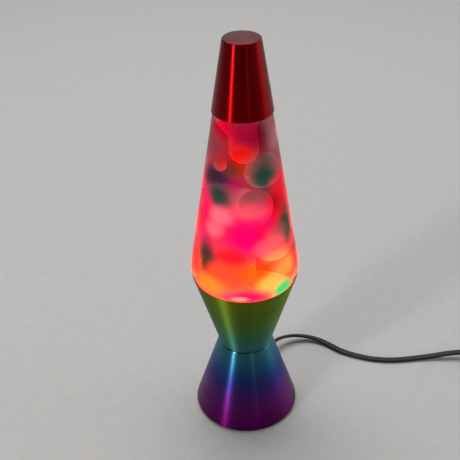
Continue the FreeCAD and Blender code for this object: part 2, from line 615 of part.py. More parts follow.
inner_up = inside(0.0, SHOULDER_Z - 1.0)
glass = turned(outer + [(MOUTH_R, NECK_Z - 1.5, 5.0)] + inner_up[::-1])
save("globe_glass", glass)

fill = turned(inside(FILM, FILL_Z)[:-1] + [inside(FILM, FILL_Z)[-1][:2], (0, FILL_Z)])

# Heating coil: a curled wire ring in the bottom of the globe
RING_R = 19.0
CURLS = 24
CURL_R = 3.0
WIRE_R = 0.5
RING_LIFT = 14.0
RING_Z = FZ + RING_LIFT


def curl_point(u):
    ring = 2 * math.pi * 0.94 * u / CURLS
    a = 2 * math.pi * u
    r = RING_R + CURL_R * math.cos(a)
    return V(r * math.cos(ring), r * math.sin(ring), RING_Z + CURL_R * math.sin(a))


save("heat_coil", sweep(biarcs(curl_point, 0, CURLS, 2 * CURLS)[0], WIRE_R))

# Wax: pool with the column and three masses that rise from it, hanging mass, four loose blobs
# Each drop has its axis, its lower and upper end, and the radii of its two balls
def level(share):
    """Height at a share of the way from the rim to the cap's edge."""
    return RIM_Z + share * (CAP_Z - RIM_Z)


COLUMN_X, COLUMN_Y = -14.0, 5.0
COLUMN_Z, COLUMN_NECK_Z, COLUMN_TOP = FZ + 7.0, level(0.26), level(0.5402)
COLUMN_R, COLUMN_NECK_R, COLUMN_HEAD_R = 14.0, 13.0, 16.4
RISING = [(-12.0, -15.0, level(-0.0547), level(0.2219), 14.8, 13.8),
          (-3.5, 21.0, FZ + 9.0, level(0.4791), 11.4, 11.6),
          (-24.5, -4.0, FZ + 11.0, level(0.3955), 11.0, 10.9)]
TOP_MASS = (-1.5, 0.5, level(0.6977), FILL_Z - 4.0, 13.4, 12.5)
BLOBS = {"wax_small_blob": (-17.0, -9.0, level(0.690), level(0.757), 5.1, 5.1),
         "wax_right_blob": (12.5, 9.5, level(0.5305), level(0.730), 12.3, 10.2),
         "wax_centre_blob": (9.0, -14.5, level(0.3891), level(0.582), 12.6, 13.3),
         "wax_low_blob": (19.8, 4.0, level(0.0868), level(0.3312), 16.3, 13.6)}


def column(grow=0.0):
    """Column of wax that widens upward to a flat head."""
    foot_z, top = COLUMN_Z - grow, COLUMN_TOP + grow
    foot, neck, head = COLUMN_R + grow, COLUMN_NECK_R + grow, COLUMN_HEAD_R + grow
    solid = turned([(0, foot_z), (foot, foot_z, 9.0), (neck, COLUMN_NECK_Z, 60.0), (head, top - 7.5, 7.0),
                    (head - 5.4, top - 1.0, 8.0), (0, top)])
    solid.translate(V(COLUMN_X, COLUMN_Y, 0))
    return solid


below = cyl(0, 0, FZ - 5.0, 2 * BELLY_R, POOL_Z - FZ + 5.0)
pool_room = fill.common(below)
channel = Part.makeTorus(RING_R, CURL_R + WIRE_R + 0.3, V(0, 0, RING_Z))
risen = [column()] + [drop(*size) for size in RISING]
pool = pool_room.fuse([wax.common(fill) for wax in risen]).removeSplitter().cut(channel)
save("wax_pool", pool)
save("wax_top_mass", drop(*TOP_MASS))
liquid = fill
for name, size in BLOBS.items():
    save(name, drop(*size))
    liquid = liquid.cut(drop(*size, FILM))
liquid = liquid.cut(drop(*TOP_MASS, FILM))
above = cyl(0, 0, POOL_Z - 3, 2 * BELLY_R, TOTAL_HEIGHT)
rooms = [column(FILM)] + [drop(*size, FILM) for size in RISING]
pool_cut = cyl(0, 0, FZ - 5.0, 2 * BELLY_R, POOL_Z + FILM - FZ + 5.0)
liquid = liquid.cut(pool_cut.fuse([room.common(above) for room in rooms]))
save("liquid", liquid)

# Crown cap with its fluted skirt, and the liner under it
CROWN = 0.4
LINER = 0.6
SKIRT_R = BEAD_R + 0.25
SKIRT_Z = LIP_Z - 5.5
top_in, top_out = LIP_Z + LINER, LIP_Z + LINER + CROWN
crown = turned([(0, top_in), (SKIRT_R - 1.15, top_in, 0.3), (SKIRT_R, LIP_Z - 1.4, 1.0),
                (SKIRT_R, SKIRT_Z + 0.6, 0), (SKIRT_R + 0.75, SKIRT_Z, 0), (SKIRT_R + 1.15, SKIRT_Z + 0.3, 0),
                (SKIRT_R + 0.45, SKIRT_Z + 1.0, 0), (SKIRT_R + 0.45, LIP_Z - 0.6, 1.6),
                (SKIRT_R - 0.95, top_out, 1.0), (0, top_out)])
FLUTES = 21
flute = Part.makeCone(1.5, 0.7, 4.4, V(SKIRT_R + 0.25, 0, SKIRT_Z + 0.2))
for f in around(flute, FLUTES):
    crown = crown.fuse(f.cut(cyl(0, 0, SKIRT_Z - 4, SKIRT_R, 20)))
save("crown_cap", crown)
LINER_R = SKIRT_R - 1.45
save("crown_liner", turned([(0, LIP_Z), (LINER_R, LIP_Z), (LINER_R, LIP_Z + LINER), (0, LIP_Z + LINER)]))

# Top cap: one spun cone with a flat rounded top, resting on the globe's taper
cap_line = [(CAP_BOTTOM_R, CAP_Z, 0), (CAP_TOP_R, TOTAL_HEIGHT, CAP_ROUND), (0, TOTAL_HEIGHT, 0)]
save("top_cap", turned(sheet_profile(cap_line, SHEET)))
print("belly", round(BELLY_R, 2), round(BELLY_Z, 2), "rim glass", round(lower_r(RIM_Z), 2))
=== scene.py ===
import math

import bpy
from mathutils import Matrix, Vector


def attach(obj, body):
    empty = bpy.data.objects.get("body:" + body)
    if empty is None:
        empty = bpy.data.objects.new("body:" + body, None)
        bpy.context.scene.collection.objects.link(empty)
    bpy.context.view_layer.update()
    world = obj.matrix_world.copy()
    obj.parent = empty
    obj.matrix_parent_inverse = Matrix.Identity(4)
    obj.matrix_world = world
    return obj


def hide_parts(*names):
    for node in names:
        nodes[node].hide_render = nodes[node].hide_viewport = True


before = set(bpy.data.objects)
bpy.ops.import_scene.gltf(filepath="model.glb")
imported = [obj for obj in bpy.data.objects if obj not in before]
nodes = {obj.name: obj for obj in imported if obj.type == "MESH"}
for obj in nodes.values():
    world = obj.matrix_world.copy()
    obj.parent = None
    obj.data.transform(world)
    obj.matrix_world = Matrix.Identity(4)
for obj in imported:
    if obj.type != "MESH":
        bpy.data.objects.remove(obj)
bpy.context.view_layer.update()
scene = bpy.context.scene
MM = 0.001

# The lamp's main sizes in millimetres, as in the CAD model
TOTAL_HEIGHT = 368.0
SHEET = 0.8
EDGE_Z = 2.0
FOOT_R = 48.6
WAIST_Z = 78.0
WAIST_R = 24.5
UPPER_WAIST_R = 23.8
RIM_Z = 154.5
RIM_R = 46.1
BORE_R = 17.0
SEAT_GAP = 0.25
CAP_Z = 310.0
CAP_R = 24.5
CAP_TOP_R = 14.9
CAP_ROUND = 1.7
GLASS = 2.8
GLOBE_TOP_R = 23.4
BELLY_RISE = 8.3
BELLY_ROUND = 22.0
FOOT_Z = 115.0
FOOT_RING_R = 22.5
KICK = 5.0              # the foot is pushed up in the middle
SHOULDER_Z = 328.0
NECK_Z = 335.0
NECK_R = 13.0
BEAD_R = 13.5
MOUTH_R = 9.2
LIP_Z = 349.5
LIQUID_Z = 325.0
BASE_SLOPE = (RIM_R - UPPER_WAIST_R) / (RIM_Z - WAIST_Z)
LEAN = math.sqrt(1 + BASE_SLOPE ** 2)
SEAT_R = RIM_R - (SHEET + SEAT_GAP) * LEAN
BELLY_Z = RIM_Z + BELLY_RISE
GLOBE_SLOPE = (SEAT_R + BASE_SLOPE * BELLY_RISE - GLOBE_TOP_R) / (CAP_Z - BELLY_Z)


def upper_r(z):
    return GLOBE_TOP_R + GLOBE_SLOPE * (CAP_Z - z)


def lower_r(z):
    return SEAT_R - BASE_SLOPE * (RIM_Z - z)


# Mesh helpers
def rounded(points, steps=6):
    """Corner points (r, z, radius) as a polyline with arcs of that radius."""
    out = []
    n = len(points)
    for i, p in enumerate(points):
        rad = p[2] if len(p) > 2 else 0.0
        if rad <= 0 or i in (0, n - 1):
            out.append((p[0], p[1]))
            continue
        c = Vector((p[0], p[1]))
        a = (Vector(points[i - 1][:2]) - c).normalized()
        b = (Vector(points[i + 1][:2]) - c).normalized()
        half = a.angle(b) / 2
        start = c + a * (rad / math.tan(half))
        stop = c + b * (rad / math.tan(half))
        centre = c + (a + b).normalized() * (rad / math.sin(half))
        u, v = start - centre, stop - centre
        sweep = u.angle(v)
        for k in range(steps + 1):
            t = k / steps
            w = (u * math.sin((1 - t) * sweep) + v * math.sin(t * sweep)) / math.sin(sweep)
            out.append(tuple(centre + w))
    return out


def split_long(line, step):
    """The same polyline with its long straight stretches divided."""
    out = [line[0]]
    for a, b in zip(line, line[1:]):
        n = max(1, int(math.hypot(b[0] - a[0], b[1] - a[1]) / step))
        out += [(a[0] + (b[0] - a[0]) * k / n, a[1] + (b[1] - a[1]) * k / n) for k in range(1, n + 1)]
    return out


def mesh_piece(name, verts, faces, smooth_angle=30):
    mesh = bpy.data.meshes.new(name)
    mesh.from_pydata(verts, [], faces)
    mesh.validate()
    mesh.update()
    obj = bpy.data.objects.new(name, mesh)
    scene.collection.objects.link(obj)
    soften(obj, smooth_angle)
    return obj


def soften(obj, angle):
    obj.data.polygons.foreach_set("use_smooth", [True] * len(obj.data.polygons))
    obj.data.set_sharp_from_angle(angle=math.radians(angle))


def lathe(name, line, segs=160, closed=False, smooth_angle=30):
    """Surface turned about Z from a polyline of (r, z) in millimetres, outside on its right."""
    verts, rings, faces = [], [], []
    for r, z in line:
        if r < 1e-4:
            rings.append([len(verts)])
            verts.append((0, 0, z * MM))
            continue
        rings.append(list(range(len(verts), len(verts) + segs)))
        for k in range(segs):
            a = 2 * math.pi * k / segs
            verts.append((r * MM * math.cos(a), r * MM * math.sin(a), z * MM))
    pairs = list(zip(rings, rings[1:]))
    if closed:
        pairs.append((rings[-1], rings[0]))
    for low, high in pairs:
        for k in range(segs):
            n = (k + 1) % segs
            if len(low) == 1 and len(high) == 1:
                break
            if len(low) == 1:
                faces.append((low[0], high[n], high[k]))
            elif len(high) == 1:
                faces.append((low[k], low[n], high[0]))
            else:
                faces.append((low[k], low[n], high[n], high[k]))
    return mesh_piece(name, verts, faces, smooth_angle)


def sheet_line(line, t):
    """Closed outline of bent sheet: the line and its offset to the left by t."""
    dirs = [Vector((b[0] - a[0], b[1] - a[1])).normalized() for a, b in zip(line, line[1:])]
    other = []
    for i, p in enumerate(line):
        if i in (0, len(line) - 1):
            d = dirs[0] if i == 0 else dirs[-1]
            other.append((p[0] - d.y * t, p[1] + d.x * t, 0.0))
            continue
        a, b = dirs[i - 1], dirs[i]
        cross = a.x * b.y - a.y * b.x
        k = t * (1 - a.dot(b)) / cross
        other.append((p[0] - a.y * t - a.x * k, p[1] + a.x * t - a.y * k,
                      max(p[2] - t, 0.15) if cross > 0 else p[2] + t))
    return rounded(line) + rounded(other[::-1])


# Shader helpers
class Tree:
    """A material's node tree, with short calls that return output sockets."""

    def __init__(self, name):
        self.mat = bpy.data.materials.new(name)
        self.mat.use_nodes = True
        self.nt = self.mat.node_tree
        self.nt.nodes.clear()
        self.out = self.nt.nodes.new("ShaderNodeOutputMaterial")
        self.bsdf = self.nt.nodes.new("ShaderNodeBsdfPrincipled")
        self.nt.links.new(self.bsdf.outputs[0], self.out.inputs["Surface"])

    def put(self, socket, value):
        if isinstance(value, bpy.types.NodeSocket):
            self.nt.links.new(value, socket)
        elif isinstance(value, (tuple, list)) and socket.type == "RGBA":
            socket.default_value = tuple(value) + (1.0,) * (4 - len(value))
        else:
            socket.default_value = value

    def shader(self, **values):
        for key, value in values.items():
            self.put(self.bsdf.inputs[key.replace("_", " ")], value)
        return self.mat

    def coords(self):
        return self.nt.nodes.new("ShaderNodeTexCoord").outputs["Object"]

    def xyz(self, vector):
        sep = self.nt.nodes.new("ShaderNodeSeparateXYZ")
        self.put(sep.inputs[0], vector)
        return sep.outputs

    def height(self):
        return self.xyz(self.coords())["Z"]

    def normal_z(self):
        return self.xyz(self.nt.nodes.new("ShaderNodeNewGeometry").outputs["Normal"])["Z"]

    def maths(self, op, a, b=0.0):
        n = self.nt.nodes.new("ShaderNodeMath")
        n.operation = op
        self.put(n.inputs[0], a)
        self.put(n.inputs[1], b)
        return n.outputs[0]

    def vector(self, op, a, b=(0, 0, 0)):
        n = self.nt.nodes.new("ShaderNodeVectorMath")
        n.operation = op
        self.put(n.inputs[0], a)
        self.put(n.inputs[1], b)
        return n.outputs["Value"] if op in ("LENGTH", "DISTANCE", "DOT_PRODUCT") else n.outputs["Vector"]

    def remap(self, value, low, high, to_low=0.0, to_high=1.0, smooth=False):
        n = self.nt.nodes.new("ShaderNodeMapRange")
        n.interpolation_type = "SMOOTHSTEP" if smooth else "LINEAR"
        for key, v in (("Value", value), ("From Min", low), ("From Max", high),
                       ("To Min", to_low), ("To Max", to_high)):
            self.put(n.inputs[key], v)
        return n.outputs["Result"]

    def mix(self, factor, a, b, blend="MIX"):
        n = self.nt.nodes.new("ShaderNodeMix")
        n.data_type = "RGBA"
        n.blend_type = blend
        self.put(n.inputs["Factor"], factor)
        self.put(n.inputs[6], a)
        self.put(n.inputs[7], b)
        return n.outputs[2]

    def noise(self, vector, scale, detail=3.0, rough=0.5, colour=False):
        n = self.nt.nodes.new("ShaderNodeTexNoise")
        self.put(n.inputs["Vector"], vector)
        n.inputs["Scale"].default_value = scale
        n.inputs["Detail"].default_value = detail
        n.inputs["Roughness"].default_value = rough
        return n.outputs["Color" if colour else 0]

    def cells(self, vector, scale):
        n = self.nt.nodes.new("ShaderNodeTexVoronoi")
        self.put(n.inputs["Vector"], vector)
        n.inputs["Scale"].default_value = scale
        return n.outputs["Distance"], n.outputs["Color"]

    def ramp(self, value, stops, mode="EASE"):
        n = self.nt.nodes.new("ShaderNodeValToRGB")
        n.color_ramp.interpolation = mode
        el = n.color_ramp.elements
        while len(el) < len(stops):
            el.new(0.5)
        for e, (pos, col) in zip(el, stops):
            e.position = pos
            e.color = tuple(col) + (1.0,)
        self.put(n.inputs[0], value)
        return n.outputs["Color"]

    def bump(self, height, strength, distance):
        n = self.nt.nodes.new("ShaderNodeBump")
        n.inputs["Strength"].default_value = strength
        n.inputs["Distance"].default_value = distance
        self.put(n.inputs["Height"], height)
        return n.outputs["Normal"]


# Turned anodised metal: fine rings, highlights drawn out across them
RING_ROUGH = 0.05       # how far the rings vary the roughness
BLACK = (0.0, 0.0, 0.0)


def grey(v):
    return (v, v, v)


def turned_metal(name, colour_at, rough, streak=0.95):
    t = Tree(name)
    p = t.coords()
    lines = t.noise(t.vector("MULTIPLY", p, (3.0, 3.0, 900.0)), 1.0, 4.0, 0.65)
    broad = t.noise(t.vector("MULTIPLY", p, (6.0, 6.0, 90.0)), 1.0, 2.0, 0.5)
    tangent = t.nt.nodes.new("ShaderNodeTangent")
    tangent.direction_type = "RADIAL"
    tangent.axis = "Z"
    t.put(t.bsdf.inputs["Tangent"], tangent.outputs[0])
    colour = colour_at(t, t.xyz(p)["Z"])
    colour = t.mix(t.remap(lines, 0.35, 0.65, 0.0, 0.16), colour, BLACK)
    rough_at = t.maths("ADD", t.remap(lines, 0.3, 0.7, rough - RING_ROUGH, rough + RING_ROUGH),
                       t.remap(broad, 0.3, 0.7, -0.02, 0.02))
    return t.shader(Base_Color=colour, Metallic=1.0, Roughness=rough_at, Anisotropic=streak,
                    Anisotropic_Rotation=0.25, Normal=t.bump(lines, 0.05, 0.0001))


BASE_STOPS = [(0.0, (0.13, 0.003, 0.10)), (0.075, (0.14, 0.005, 0.13)), (0.165, (0.13, 0.013, 0.17)),
              (0.23, (0.09, 0.022, 0.21)), (0.29, (0.04, 0.036, 0.23)), (0.35, (0.024, 0.07, 0.25)),
              (0.42, (0.028, 0.15, 0.28)), (0.51, (0.055, 0.22, 0.25)), (0.62, (0.06, 0.225, 0.12)),
              (0.78, (0.105, 0.215, 0.028)), (1.0, (0.165, 0.225, 0.006))]


def base_colour(t, z):
    return t.ramp(t.remap(z, 0.0, RIM_Z * MM), BASE_STOPS, "LINEAR")


def cap_blend(t, z, low, high):
    return t.ramp(t.remap(z, CAP_Z * MM, TOTAL_HEIGHT * MM), [(0.0, low), (1.0, high)])


def cap_colour(t, z):
    return cap_blend(t, z, (0.27, 0.002, 0.003), (0.25, 0.004, 0.006))


# The flat top gets a darker, browner copy of the cap's colour: painted shade of the top face
def top_shade_colour(t, z):
    return cap_blend(t, z, (0.13, 0.02, 0.02), (0.12, 0.024, 0.022))


METAL_BASE = turned_metal("anodised_base", base_colour, 0.34)
METAL_UPPER = turned_metal("anodised_upper", base_colour, 0.46)
METAL_CAP = turned_metal("anodised_cap", cap_colour, 0.33)
METAL_TOP_SHADED = turned_metal("anodised_cap_top_shaded", top_shade_colour, 0.34, 0.3)


# Plain solid materials with a fine grain
def grained(name, colour, rough, metallic=0.0, grain=900.0, depth=0.00005, vary=0.15, **more):
    t = Tree(name)
    p = t.coords()
    fine = t.noise(p, grain, 3.0, 0.6)
    broad = t.noise(p, 60.0, 2.0, 0.5)
    dark = tuple(c * (1 - vary) for c in colour)
    col = t.mix(t.remap(broad, 0.35, 0.65), dark, colour)
    return t.shader(Base_Color=col, Metallic=metallic, Normal=t.bump(fine, 0.25, depth),
                    Roughness=t.remap(fine, 0.3, 0.7, rough - 0.06, rough + 0.06), **more)


BLACK_PLASTIC = grained("black_plastic", (0.018, 0.018, 0.02), 0.5)
BLACK_GLOSS = grained("black_gloss", (0.014, 0.014, 0.015), 0.28)
VINYL = grained("cord_vinyl", (0.008, 0.008, 0.009), 0.48, grain=500.0, depth=0.0001, Specular_IOR_Level=0.3)
RUBBER = grained("foot_rubber", (0.02, 0.02, 0.02), 0.75)
PHENOLIC = grained("phenolic", (0.03, 0.022, 0.018), 0.38)
STEEL = grained("plated_steel", (0.60, 0.60, 0.62), 0.32, 1.0)
BRASS = grained("brass_parts", (0.72, 0.50, 0.20), 0.30, 1.0)
WIRE = grained("bright_wire", (0.66, 0.64, 0.60), 0.25, 1.0)
LEAD_VINYL = grained("lead_vinyl", (0.70, 0.68, 0.62), 0.45)
TIN = grained("crown_tin", (0.62, 0.60, 0.52), 0.30, 1.0)
LINER = grained("crown_liner", (0.75, 0.74, 0.70), 0.6)


def bulb_frost():
    t = Tree("bulb_frost")
    z = t.height()
    glow = t.ramp(t.remap(z, 0.06, 0.105),
                  [(0.0, (0.55, 0.50, 0.45)), (0.6, (0.80, 0.74, 0.66)), (1.0, (1.0, 0.86, 0.62))])
    power = t.remap(z, 0.085, 0.105, 0.0, 2.2, True)
    return t.shader(Base_Color=glow, Roughness=0.3, Emission_Color=glow, Emission_Strength=power)


FROST = bulb_frost()

# Wax: lit from the bulb below, so brighter low down and on faces that look down
WAX_STOPS = [(0.0, (1.0, 0.66, 0.30)), (0.2, (1.0, 0.62, 0.36)), (0.42, (0.98, 0.60, 0.46)),
             (0.62, (0.86, 0.56, 0.50)), (1.0, (0.80, 0.48, 0.42))]
WAX_POWER = [(0.0, grey(1.0)), (0.25, grey(0.66)), (0.5, grey(0.46)), (0.75, grey(0.37)), (1.0, grey(0.36))]


def wax(name, under, over):
    t = Tree(name)
    p = t.coords()
    z = t.xyz(p)["Z"]
    height = t.remap(z, 0.12, 0.32)
    colour = t.ramp(height, WAX_STOPS)
    swirl = t.remap(t.noise(p, 55.0, 2.0, 0.5), 0.3, 0.7, 0.9, 1.1)
    near = t.ramp(height, WAX_POWER)
    facing = t.remap(t.normal_z(), -1.0, 1.0, under, over)
    power = t.maths("MULTIPLY", t.maths("MULTIPLY", near, facing), swirl)
    return t.shader(Base_Color=t.mix(0.4, BLACK, colour), Roughness=0.5, Emission_Color=colour,
                    Emission_Strength=t.maths("MULTIPLY", power, 2.0), Specular_IOR_Level=0.05)


WAX = wax("white_wax", 1.6, 0.3)
WAX_LOW = wax("low_wax", 1.3, 0.65)

# Dye spots on the globe, laid over one another, with a few spots of painted light among them: degrees from
# the front (right positive), height, half width, half height, strength, colour
HOT, PINK, ROSE, CORAL = (1.0, 0.0, 0.06), (1.0, 0.0, 0.19), (1.0, 0.25, 0.38), (1.0, 0.155, 0.25)
CRIMSON, RED, BALL = (0.95, 0.003, 0.03), (0.85, 0.078, 0.04), (1.0, 0.055, 0.06)
# The middle and last colours on the next line stand for light: deep red painted shade along the globe's
# outline, pinkish-white painted highlight near its foot
SCARLET, EDGE_SHADE, BLUSH_HIGHLIGHT = (1.0, 0.006, 0.004), (0.80, 0.012, 0.035), (1.0, 0.42, 0.42)
ORANGE, AMBER = (0.88, 0.10, 0.003), (0.92, 0.22, 0.026)
SAND, PEACH = (1.0, 0.29, 0.12), (0.95, 0.50, 0.14)
GREEN, TEAL, SEA = (0.03, 0.60, 0.26), (0.012, 0.10, 0.07), (0.16, 0.20, 0.18)
NAVY, INK = (0.09, 0.055, 0.16), (0.03, 0.035, 0.03)
PLUM, VIOLET = (0.42, 0.0, 0.06), (0.62, 0.012, 0.22)
GREY, MIST, PALE = (0.44, 0.13, 0.14), (0.60, 0.17, 0.22), (0.72, 0.56, 0.54)
GLASS_STOPS = [(0.0, (0.9, 0.10, 0.02)), (0.10, (0.9, 0.10, 0.10)), (0.20, (0.9, 0.08, 0.04)),
               (0.30, (1.0, 0.05, 0.12)), (0.42, (1.0, 0.015, 0.19)), (0.53, (0.95, 0.015, 0.18)),
               (0.59, (0.70, 0.03, 0.20)), (0.64, (0.60, 0.14, 0.18)), (0.72, (0.47, 0.22, 0.23)),
               (1.0, (0.50, 0.28, 0.28))]
SPOTS = [
    # front, from the cap down; the deep red spots at the left and right outline are painted shade, the small
    # pinkish-white one near the foot a painted highlight
    (-40, 305, 15, 10, 1.0, HOT), (-66, 311, 8, 6, 0.7, ROSE), (-18, 297, 11, 10, 0.85, HOT),
    (9, 302, 17, 15, 0.95, PLUM), (60, 298, 12, 20, 0.95, PALE), (26, 295, 11, 17, 0.85, PLUM),
    (-4, 283, 15, 11, 0.95, SCARLET), (-4, 273, 9, 6, 0.8, ORANGE), (-36, 276, 7, 7, 1.0, BALL),
    (-8, 259.5, 22, 6, 0.9, VIOLET), (-46, 261, 15, 9, 0.95, NAVY), (10, 264, 7, 8, 0.6, BALL),
    (32, 265, 19, 20, 0.7, SEA), (32, 263.5, 12, 14, 0.95, TEAL), (-56, 246, 10, 9, 0.8, VIOLET),
    (-37, 247, 20, 12, 0.6, SEA), (-38, 248, 13, 9, 0.95, TEAL), (8, 250, 15, 8, 0.9, MIST),
    (52, 240, 12, 20, 0.95, CRIMSON), (72, 244, 12, 24, 0.95, EDGE_SHADE), (-62, 230, 11, 22, 0.95, PINK),
    (-82, 224, 13, 26, 0.95, EDGE_SHADE), (9, 238, 15, 8, 0.8, CORAL), (-31, 231, 12, 8.5, 0.9, ROSE),
    (4, 215, 22, 16, 1.0, PINK), (-40, 219, 10, 8, 0.75, ROSE), (62, 214, 12, 19, 0.97, TEAL),
    (44, 213, 11, 9, 0.6, MIST), (33, 204, 14, 9, 0.9, CORAL), (-54, 207, 10, 9, 0.8, VIOLET),
    (-14, 196, 17, 8, 0.8, CRIMSON), (-48, 190, 13, 17, 0.97, INK), (-22, 181, 17, 12, 0.85, RED),
    (14, 184, 19, 11, 0.9, ORANGE), (38, 194, 13, 6, 0.85, SAND), (50, 181, 15, 10, 0.9, PEACH),
    (-66, 177, 10, 16, 0.85, RED), (-84, 178, 14, 20, 0.95, EDGE_SHADE), (-40, 167, 18, 9, 0.9, AMBER),
    (30, 170, 15, 10, 0.9, PEACH), (44, 161, 14, 9, 1.0, GREEN), (1, 160.5, 22, 7, 0.95, PINK),
    (-6, 158.5, 8, 3.5, 0.6, BLUSH_HIGHLIGHT), (82, 184, 14, 20, 0.95, EDGE_SHADE),
    # sides and back
    (112, 300, 15, 20, 0.9, HOT), (170, 285, 18, 18, 0.9, PLUM), (-130, 264, 20, 20, 0.9, PINK),
    (140, 226, 24, 22, 0.9, ROSE), (-165, 200, 24, 20, 0.9, PINK), (-110, 190, 18, 20, 0.8, RED),
    (105, 172, 20, 14, 0.8, AMBER), (180, 165, 22, 12, 0.8, ORANGE), (120, 256, 11, 14, 0.9, TEAL),
    (-160, 240, 11, 13, 0.9, TEAL), (-92, 282, 12, 16, 0.8, GREY), (160, 206, 10, 13, 0.9, NAVY),
    (-124, 216, 9, 14, 0.9, TEAL), (-95, 163, 11, 9, 0.9, GREEN), (145, 158, 11, 8, 0.9, GREEN)]


DYE_FULL, DYE_GONE = 0.35, 1.4      # where a spot starts to fade and where it ends, in half widths
DYE_WOBBLE = 0.004                  # metres by which the spots' outlines wander
BUBBLE_SCALE, BUBBLE_RARE = 300.0, 0.955
BUBBLE_IN, BUBBLE_OUT = 0.10, 0.17
BUBBLE_TOP_Z = 0.268


def glass_r(z):
    return upper_r(z) if z > BELLY_Z else lower_r(z)


def dye_and_light_spots(t, p, colour):
    """Soft spots of dye laid over a ground colour, a few of them painted shade and painted highlight."""
    for turn, z, wide, high, strength, tint in SPOTS:
        a = math.radians(turn - 90)
        r = glass_r(z)
        centre = (r * MM * math.cos(a), r * MM * math.sin(a), z * MM)
        size = (1 / (wide * MM), 1 / (wide * MM), 1 / (high * MM))
        away = t.vector("LENGTH", t.vector("MULTIPLY", t.vector("SUBTRACT", p, centre), size))
        colour = t.mix(t.remap(away, DYE_FULL, DYE_GONE, strength, 0.0, True), colour, tint)
    return colour


def painted_glass():
    t = Tree("painted_glass")
    p = t.coords()
    wobble = t.vector("SUBTRACT", t.noise(p, 45.0, 2.0, 0.5, True), (0.5, 0.5, 0.5))
    q = t.vector("ADD", p, t.vector("MULTIPLY", wobble, (DYE_WOBBLE, DYE_WOBBLE, DYE_WOBBLE)))
    z = t.xyz(q)["Z"]
    colour = dye_and_light_spots(t, q, t.ramp(t.remap(z, 0.14, 0.34), GLASS_STOPS))
    # Tiny bubbles on the wall, drawn as pale specks that glow more than the dye, as painted glints: a few
    # cells of a coarse grid hold one each
    far, lot = t.cells(p, BUBBLE_SCALE)
    chosen = t.maths("GREATER_THAN", t.xyz(lot)["X"], BUBBLE_RARE)
    bubble_glint = t.maths("MULTIPLY", t.remap(far, BUBBLE_IN, BUBBLE_OUT, 1.0, 0.0), chosen)
    bubble_glint = t.maths("MULTIPLY", bubble_glint, t.maths("LESS_THAN", z, BUBBLE_TOP_Z))
    colour = t.mix(t.maths("MULTIPLY", bubble_glint, 0.5), colour, (1.0, 0.72, 0.76))
    # Glass is tinted once at each face, so the colour goes in squared
    deep = t.mix(1.0, colour, colour, "MULTIPLY")
    fine = t.noise(p, 240.0, 3.0, 0.5)
    # The dye glows faintly all over, as painted glow of the bulb's light, and the bubbles glow more, as
    # painted glints
    return t.shader(Base_Color=deep, Roughness=0.04, IOR=1.14, Transmission_Weight=1.0,
                    Emission_Color=colour, Emission_Strength=t.remap(bubble_glint, 0.0, 1.0, 0.12, 0.26),
                    Normal=t.bump(fine, 0.03, 0.0004))


# Glow of the lit liquid on the inside wall, from the foot up
GLOW = [(0.0, grey(0.75)), (0.19, grey(0.70)), (0.31, grey(0.40)), (0.45, grey(0.18)), (0.62, grey(0.11)),
        (0.80, grey(0.09)), (0.97, grey(0.0))]


def clear_glass():
    t = Tree("glass_inside")
    tint = t.ramp(t.remap(t.height(), 0.11, 0.35), [(0.0, (0.99, 0.98, 0.97)), (1.0, (0.95, 0.95, 0.95))])
    glow = t.ramp(t.remap(t.height(), 0.115, 0.275), GLOW)
    return t.shader(Base_Color=tint, Roughness=0.0, IOR=1.002, Transmission_Weight=1.0,
                    Emission_Color=(1.0, 0.60, 0.34), Emission_Strength=glow)


def clear_liquid():
    t = Tree("clear_liquid")
    tint = t.ramp(t.remap(t.height(), 0.11, 0.33), [(0.0, (0.96, 0.94, 0.93)), (1.0, (0.86, 0.85, 0.88))])
    return t.shader(Base_Color=tint, Roughness=0.0, IOR=1.001, Transmission_Weight=1.0,
                    Specular_IOR_Level=0.0)


GLASS_OUT, GLASS_IN, LIQUID = painted_glass(), clear_glass(), clear_liquid()
for m in (WAX, WAX_LOW, GLASS_OUT, GLASS_IN):
    m.cycles.emission_sampling = "NONE"


def dress(obj, *materials):
    obj.data.materials.clear()
    for m in materials:
        obj.data.materials.append(m)


def place(obj, body, slot, *replaced):
    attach(obj, body)
    if replaced:
        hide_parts(*replaced)


# Base: two spun cones
METAL_SEGS = 192
lower_line = [(FOOT_R - 3.0, EDGE_Z, 0), (FOOT_R, EDGE_Z, 1.1), (WAIST_R, WAIST_Z, 1.6), (BORE_R, WAIST_Z, 0)]
lower = lathe("base_lower_cone", sheet_line(lower_line, SHEET), METAL_SEGS, True)
dress(lower, METAL_BASE)
place(lower, "base", "anodised_base", "lower_cone")
upper_line = [(BORE_R, WAIST_Z, 0), (UPPER_WAIST_R, WAIST_Z, 1.1), (RIM_R, RIM_Z, 0)]
upper = lathe("base_upper_cone", sheet_line(upper_line, SHEET), METAL_SEGS, True)
dress(upper, METAL_UPPER)
place(upper, "base", "anodised_base", "upper_cone")

# Cap: one spun cone with a flat top
cap_line = [(CAP_R, CAP_Z, 0), (CAP_TOP_R, TOTAL_HEIGHT, CAP_ROUND), (0, TOTAL_HEIGHT, 0)]
cap = lathe("cap_shell", sheet_line(cap_line, SHEET), METAL_SEGS, True)
dress(cap, METAL_CAP, METAL_TOP_SHADED)
# The flat top takes the darker, browner copy, painted shade
for poly in cap.data.polygons:
    poly.material_index = 1 if poly.center.z > (TOTAL_HEIGHT - 0.1) * MM else 0
place(cap, "cap", "anodised_cap", "top_cap")

